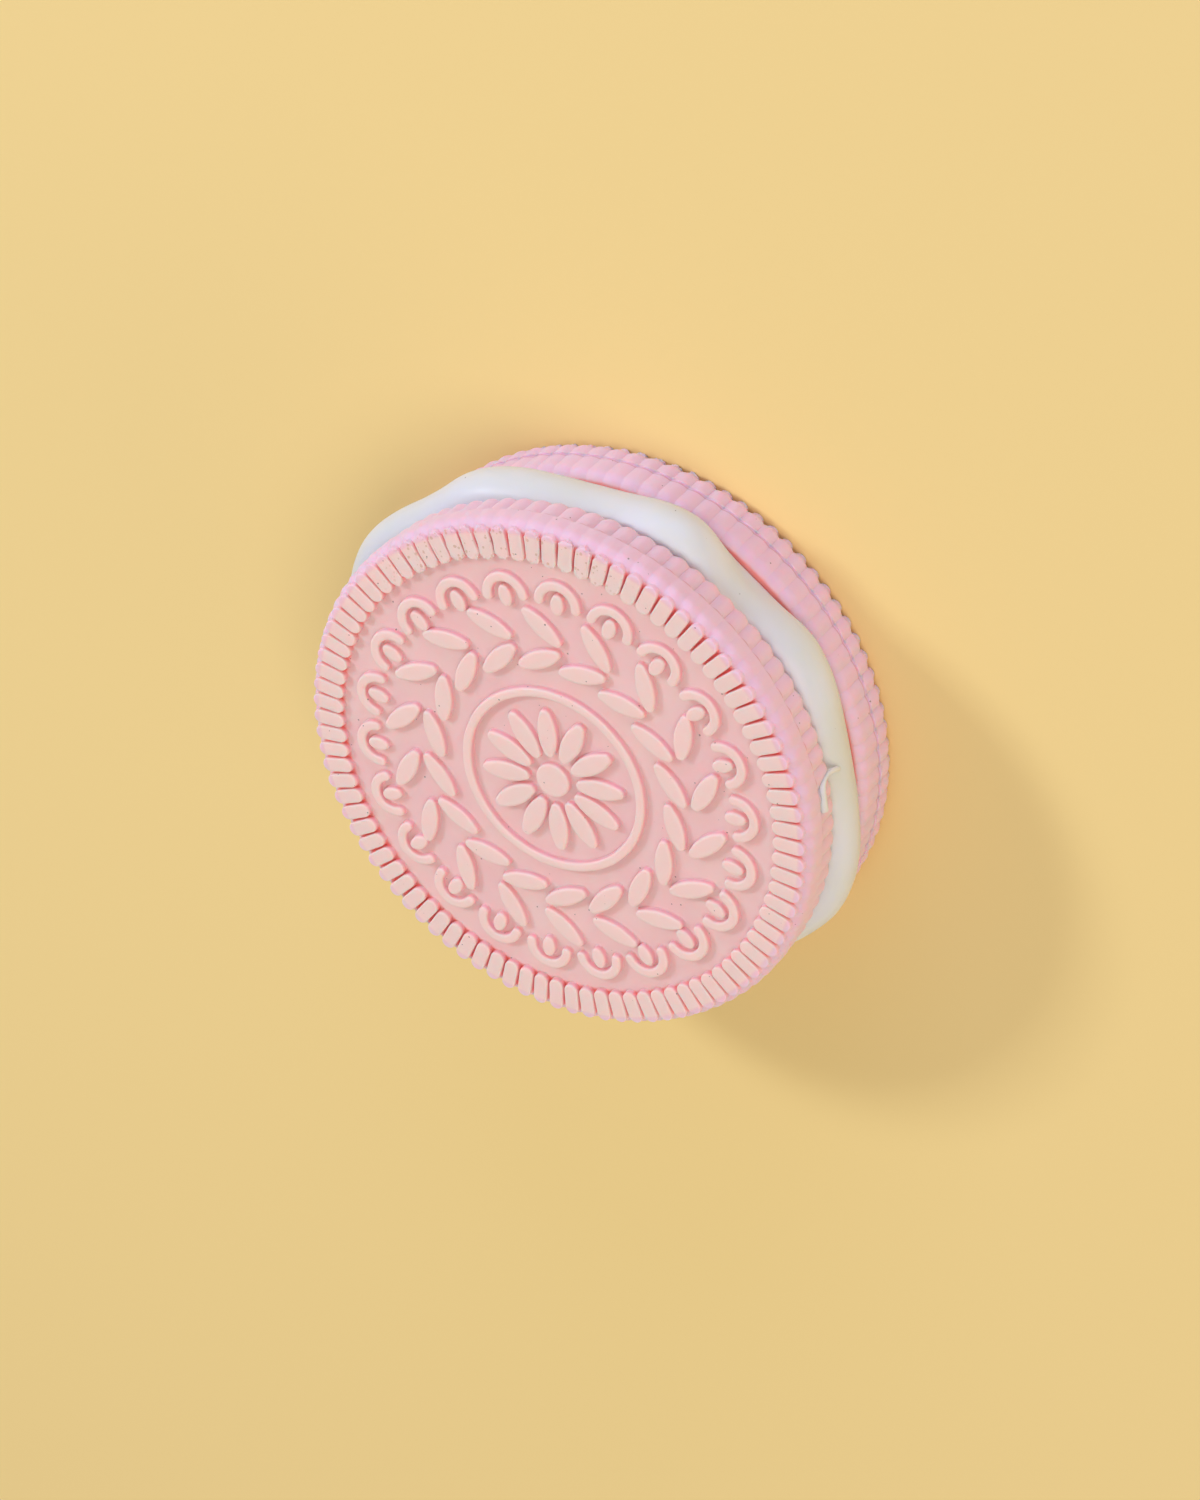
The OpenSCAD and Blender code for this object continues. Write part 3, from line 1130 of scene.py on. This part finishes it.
@dataclass(frozen=True)
class WaferRubber:
    """Soft pink rubber of the wafers, matt and slightly see-through, with painted light and shade
    in its colour.
    """

    effects: Effects
    sizes: EraserSizes
    skin: Rgb = srgb(244, 206, 200)
    blush: Rgb = srgb(242, 198, 195)
    # Painted light: a cool lilac tint on the sides and shoulders, standing in for cool light from
    # above
    flank_painted_cool_light: Rgb = srgb(236, 203, 225)
    # Painted light: pattern tops lighter and creamier than the field, which lies in the pattern's
    # shade
    raised: Rgb = srgb(249, 214, 204)
    # Painted shade: darker, deeper pink at the foot of the pattern's walls
    crease_painted_shade: Rgb = srgb(238, 168, 178)
    # Painted shade and reddish bounce light deep between the lugs
    groove_painted_shade: Rgb = srgb(255, 146, 138)
    # Painted shade: a thin darker line along the step at the parting line
    seam_painted_shade: Rgb = srgb(214, 150, 160)
    worn: Rgb = srgb(206, 162, 124)
    speck: Rgb = srgb(120, 92, 84)
    flank_painted_cool_light_share: float = 0.8
    crease_painted_shade_share: float = 0.6
    seam_painted_shade_share: float = 0.6
    grit_share: float = 0.55
    grit_depth: float = -3.0
    speck_share: float = 0.7

    def place_masks(self, sheet: NodeSheet) -> tuple[Socket, ...]:
        """Masks that follow the form, which place the painted light and shade.

        Args:
            sheet: Sheet of the material.

        Returns:
            How deep a place lies between two lugs, how near it is to the parting line, how
            high it stands on the pattern, whether it is on a wall of the pattern, and whether
            it is off the face.
        """
        s = self.sizes
        place = sheet.place()
        x, y, z = sheet.add("ShaderNodeSeparateXYZ", Vector=place).outputs
        square = sheet.math("ADD", sheet.times(x, x), sheet.times(y, y))
        radius = sheet.math("POWER", square, 0.5)
        middle = s.total_t / 2
        height = sheet.math("ABSOLUTE", sheet.math("SUBTRACT", z, middle * MM))

        def zone(measure: Socket, low: float, high: float) -> Socket:
            """Ramp between two sizes in millimetres."""
            return sheet.ramp(measure, low * MM, high * MM)

        # Deep between the lugs, where painted shade goes
        ring = zone(radius, s.lug_inner_r - 0.05, s.lug_inner_r + 0.3)
        inside = zone(radius, s.wafer_r - 0.7, s.wafer_r - 1.0)
        deep = zone(height, middle - 0.12, middle - s.relief)
        groove_painted_shade = sheet.times(sheet.times(ring, inside), deep)
        # Near the parting line, where the painted shade line goes
        line_z = middle - s.parting_depth - 0.09
        off_line = sheet.math("ABSOLUTE", sheet.math("SUBTRACT", height, line_z * MM))
        line = zone(off_line, 0.12, 0.05)
        outside = zone(radius, s.side_r - 0.6, s.side_r - 0.4)
        # Height on the pattern: its tops get painted light
        raised = zone(height, middle - 0.35, middle - 0.03)
        on_face = zone(radius, s.wafer_r - 0.8, s.wafer_r - 1.1)
        # Foot of the pattern's walls, where painted shade goes
        foot = zone(height, middle - s.relief + 0.02, middle - s.relief + 0.14)
        wall = sheet.times(foot, sheet.math("SUBTRACT", 1.0, raised))
        return (
            groove_painted_shade, sheet.times(line, outside),
            sheet.times(raised, on_face), sheet.times(wall, on_face),
            # Off the face: where the painted cool light tint goes
            zone(radius, s.wafer_r - 1.2, s.wafer_r - 0.3),
        )

    def material(self) -> bpy.types.Material:
        """Build the material."""
        made, sheet = start_material("wafer_rubber")
        grain = place_group(sheet, self.effects.grain, Grain_Scale=5200.0, Dent_Scale=650.0)
        specks = place_group(sheet, self.effects.specks, Cell_Scale=1200.0, Size=0.07, Share=0.4)
        grit = place_group(sheet, self.effects.specks, Cell_Scale=3000.0, Size=0.34, Share=0.35)
        worn = sheet.add("ShaderNodeAttribute", {"attribute_name": "worn"}).outputs["Fac"]
        deep, seam_painted_shade, raised, wall, off_face = self.place_masks(sheet)
        colour = sheet.mix(grain.outputs["Mottle"], self.skin, self.blush)
        # Painted light: cool lilac tint mixed in off the face
        colour = sheet.mix(sheet.times(off_face, self.flank_painted_cool_light_share), colour, self.flank_painted_cool_light)
        # Painted light: lighter tops on the pattern
        colour = sheet.mix(raised, colour, self.raised)
        # Painted shade at the foot of the pattern's walls
        colour = sheet.mix(sheet.times(wall, self.crease_painted_shade_share), colour, self.crease_painted_shade)
        # Painted shade and reddish bounce light between the lugs
        colour = sheet.mix(deep, colour, self.groove_painted_shade)
        # Painted shade along the parting step
        colour = sheet.mix(sheet.times(seam_painted_shade, self.seam_painted_shade_share), colour, self.seam_painted_shade)
        grit_here = sheet.times(grit.outputs["Mask"], worn)
        colour = sheet.mix(sheet.times(grit_here, self.grit_share), colour, self.worn)
        dust = sheet.times(specks.outputs["Mask"], self.speck_share)
        colour = sheet.mix(dust, colour, self.speck)
        uneven = sheet.math("ADD", grain.outputs["Mottle"], worn)
        rough = sheet.math("ADD", 0.5, sheet.times(uneven, 0.1))
        pits = sheet.times(grit_here, self.grit_depth)
        height = sheet.math("ADD", grain.outputs["Height"], pits)
        sheet.surface(
            0.35, GRAIN_DEPTH, height, Base_Color=colour, Roughness=rough,
            Subsurface_Weight=1.0, Subsurface_Radius=(1.0, 0.3, 0.24), Subsurface_Scale=0.0009,
            Specular_IOR_Level=0.35, Sheen_Weight=0.08, Sheen_Roughness=0.6,
        )
        return made


@dataclass(frozen=True)
class FillingRubber:
    """Smooth white rubber of the filling, a little satin."""

    effects: Effects
    skin: Rgb = srgb(227, 229, 232)
    warm: Rgb = srgb(223, 226, 222)
    speck: Rgb = srgb(110, 92, 84)

    def material(self) -> bpy.types.Material:
        """Build the material."""
        made, sheet = start_material("filling_rubber")
        grain = place_group(sheet, self.effects.grain, Grain_Scale=4200.0, Dent_Scale=420.0)
        specks = place_group(sheet, self.effects.specks, Cell_Scale=1100.0, Size=0.055, Share=0.14)
        colour = sheet.mix(grain.outputs["Mottle"], self.skin, self.warm)
        colour = sheet.mix(sheet.times(specks.outputs["Mask"], 0.7), colour, self.speck)
        rough = sheet.math("ADD", 0.36, sheet.times(grain.outputs["Mottle"], 0.12))
        place = sheet.place()
        stretch = sheet.add("ShaderNodeMapping", Vector=place, Scale=(60.0, 60.0, 3200.0))
        lines = sheet.add("ShaderNodeTexNoise", Vector=stretch.outputs[0], Scale=1.0, Detail=2.0)
        fine = sheet.times(grain.outputs["Height"], 0.6)
        height = sheet.math("ADD", fine, lines.outputs["Fac"])
        sheet.surface(
            0.25, GRAIN_DEPTH, height, Base_Color=colour, Roughness=rough,
            Subsurface_Weight=1.0, Subsurface_Radius=(1.0, 0.85, 0.7), Subsurface_Scale=0.0006,
            Specular_IOR_Level=0.45,
        )
        return made


@dataclass(frozen=True)
class Paper:
    """Matt warm yellow paper of the backdrop."""

    tint: Rgb = srgb(245, 216, 146)

    def material(self) -> bpy.types.Material:
        """Build the material."""
        made, sheet = start_material("backdrop_paper")
        place = sheet.place()
        fibre = sheet.add("ShaderNodeTexNoise", Vector=place, Scale=2600.0, Detail=4.0)
        sheet.surface(
            0.15, FIBRE_DEPTH, fibre.outputs["Fac"], Base_Color=(*self.tint, 1), Roughness=0.85,
            Specular_IOR_Level=0.2,
        )
        return made


# The studio


@dataclass(frozen=True)
class Camera:
    """The photograph's camera: above and to one side of the lying eraser, rolled."""

    place: tuple[float, float, float] = (159.3, 168.2, 250.4)
    right: Rgb = (0.86253, -0.09890, -0.49625)
    upward: Rgb = (-0.17848, 0.85822, -0.48125)
    back: Rgb = (0.47349, 0.50366, 0.72259)
    lens: float = 102.0
    sensor: float = 36.0

    def build(self) -> None:
        """Add the camera, and make it the scene's."""
        data = bpy.data.cameras.new("camera")
        data.sensor_fit = "VERTICAL"
        data.sensor_width = data.sensor_height = self.sensor
        data.lens = self.lens
        data.clip_start = 0.01
        camera = add_object("camera", data)
        axes = Matrix((self.right, self.upward, self.back)).transposed().to_4x4()
        camera.matrix_world = Matrix.Translation(Vector(self.place) * MM) @ axes
        bpy.context.scene.camera = camera


@dataclass(frozen=True)
class Lamp:
    """A square soft box that looks at the eraser."""

    name: str
    azimuth: float
    elevation: float
    distance: float
    size: float
    power: float
    tint: Rgb

    def build(self) -> None:
        """Add the lamp."""
        data = bpy.data.lights.new(self.name, "AREA")
        data.size = self.size
        data.energy = self.power
        data.color = self.tint
        lamp = add_object(self.name, data)
        turn, rise = math.radians(self.azimuth), math.radians(self.elevation)
        towards = Vector((
            math.cos(turn) * math.cos(rise), math.sin(turn) * math.cos(rise), math.sin(rise)
        ))
        lamp.location = towards * self.distance
        lamp.rotation_euler = towards.to_track_quat("Z", "Y").to_euler()


@dataclass(frozen=True)
class Studio:
    """Floor, lamps and the light of the room."""

    lamps: tuple[Lamp, ...] = (
        Lamp("key", 140.0, 36.0, 0.7, 0.12, 1.8, (0.84, 0.90, 1.0)),
        Lamp("warm_front", 5.0, 60.0, 0.9, 0.5, 2.7, (1.0, 0.91, 0.88)),
        Lamp("over", 84.0, 8.0, 0.8, 0.45, 2.7, (0.40, 0.48, 1.0)),
        Lamp("paper_glow", -25.0, 10.0, 0.8, 0.5, 0.9, (1.0, 0.83, 0.50)),
    )
    room: Rgb = (1.0, 0.99, 0.98)
    room_strength: float = 0.42
    floor_size: float = 6.0

    def build(self) -> None:
        """Add the floor, the lamps and the world."""
        clear_selection()
        bpy.ops.mesh.primitive_plane_add(size=self.floor_size, location=(0, 0, 0))
        floor = bpy.context.object
        floor.name = "backdrop"
        floor.data.materials.append(Paper().material())
        for lamp in self.lamps:
            lamp.build()
        world = bpy.data.worlds.new("room")
        world.use_nodes = True
        shade = world.node_tree.nodes["Background"]
        shade.inputs["Color"].default_value = (*self.room, 1)
        shade.inputs["Strength"].default_value = self.room_strength
        bpy.context.scene.world = world
        bpy.context.scene.view_settings.view_transform = "Standard"


def report(obj: Obj) -> None:
    """Log a piece's name, triangles and box."""
    triangles = sum(len(face.vertices) - 2 for face in obj.data.polygons)
    spots = positions(obj)
    LOG.info(
        "%s: %d triangles, box %s to %s", obj.name, triangles,
        np.round(spots.min(axis=0) * 1000, 2), np.round(spots.max(axis=0) * 1000, 2),
    )


def main() -> None:
    """Build the eraser and its studio."""
    logging.basicConfig(level=logging.INFO, format="%(name)s %(message)s")
    sizes = EraserSizes()
    effects = Effects(moulded_grain(), dust_specks())
    Camera().build()
    Studio().build()
    rubber = WaferRubber(effects, sizes).material()
    for name, node, side, flutes in (
        ("top_wafer_skin", "top_wafer", Side.UP, TOP_FLUTES),
        ("bottom_wafer_skin", "bottom_wafer", Side.DOWN, BOTTOM_FLUTES),
    ):
        WaferMould(sizes, flutes).press(name, node, side, rubber)
    Filling(sizes).build(FillingRubber(effects).material())


if __name__ == "__main__":
    main()
